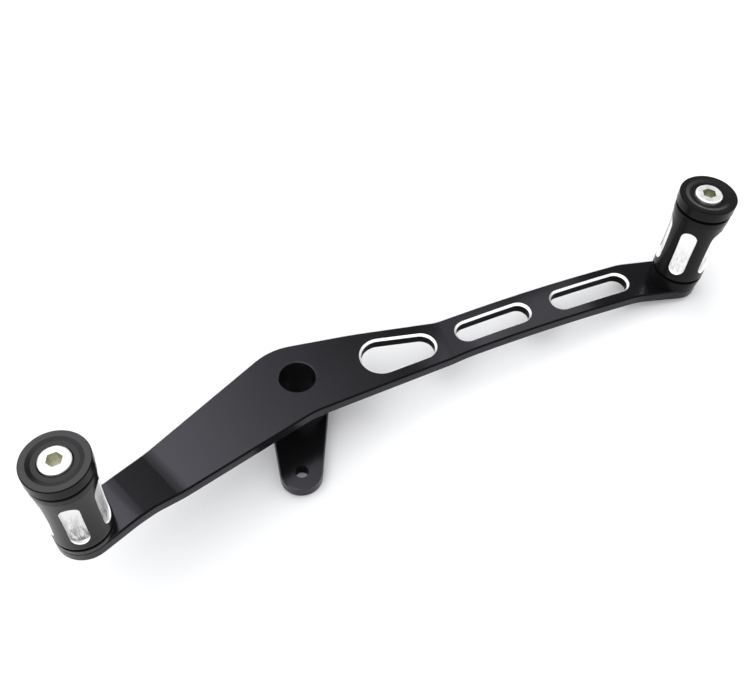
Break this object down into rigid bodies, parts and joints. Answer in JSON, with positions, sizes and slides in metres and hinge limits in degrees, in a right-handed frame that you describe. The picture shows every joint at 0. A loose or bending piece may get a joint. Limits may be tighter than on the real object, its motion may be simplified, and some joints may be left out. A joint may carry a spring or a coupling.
{
  "type": "motorbike gear shift lever",
  "caption": "Heel-and-toe motorbike gear shift lever: slotted bent plate with a pivot bore, a linkage arm below it and an upright foot peg with a turning sleeve at each end.",
  "frame": {"origin": "on the pivot bore's axis, level with the underside of the plate round the bore", "axes": "+Z along the pivot bore towards the pegs' caps, +X parallel to the line from the short arm's peg to the long arm's peg, +Y towards the back edge of the plate"},
  "size_m": [0.3509, 0.0668, 0.0922],
  "materials": {
    "plate_black": "satin black anodised, bright bevels round the slots",
    "arm_black": "satin black anodised",
    "bush": "dark polymer bearing liner",
    "peg_black": "satin black anodised, turned",
    "sleeve": "satin black anodised with milled bare metal windows",
    "washer": "black polymer thrust washer",
    "steel": "turned steel",
    "screw": "plain stainless steel"
  },
  "bodies": {
    "lever": {"lever_plate": "plate_black", "hub_spacer": "arm_black", "linkage_arm": "arm_black", "pivot_bush": "bush", "short_base_collar": "peg_black", "short_lower_washer": "washer", "short_spindle": "steel", "short_upper_washer": "washer", "short_end_cap": "peg_black", "short_cap_screw": "screw", "long_base_collar": "peg_black", "long_lower_washer": "washer", "long_spindle": "steel", "long_upper_washer": "washer", "long_end_cap": "peg_black", "long_cap_screw": "screw"},
    "short_sleeve": {"short_peg_sleeve": "sleeve"},
    "long_sleeve": {"long_peg_sleeve": "sleeve"}
  },
  "joints": [
    {"name": "short_sleeve_turn", "type": "hinge", "parent": "lever", "child": "short_sleeve", "pos_m": [-0.1154, -0.0326, 0.0349], "axis": [0, 0, 1], "continuous": true},
    {"name": "long_sleeve_turn", "type": "hinge", "parent": "lever", "child": "long_sleeve", "pos_m": [0.2075, -0.0326, 0.0398], "axis": [0, 0, 1], "continuous": true}
  ]
}
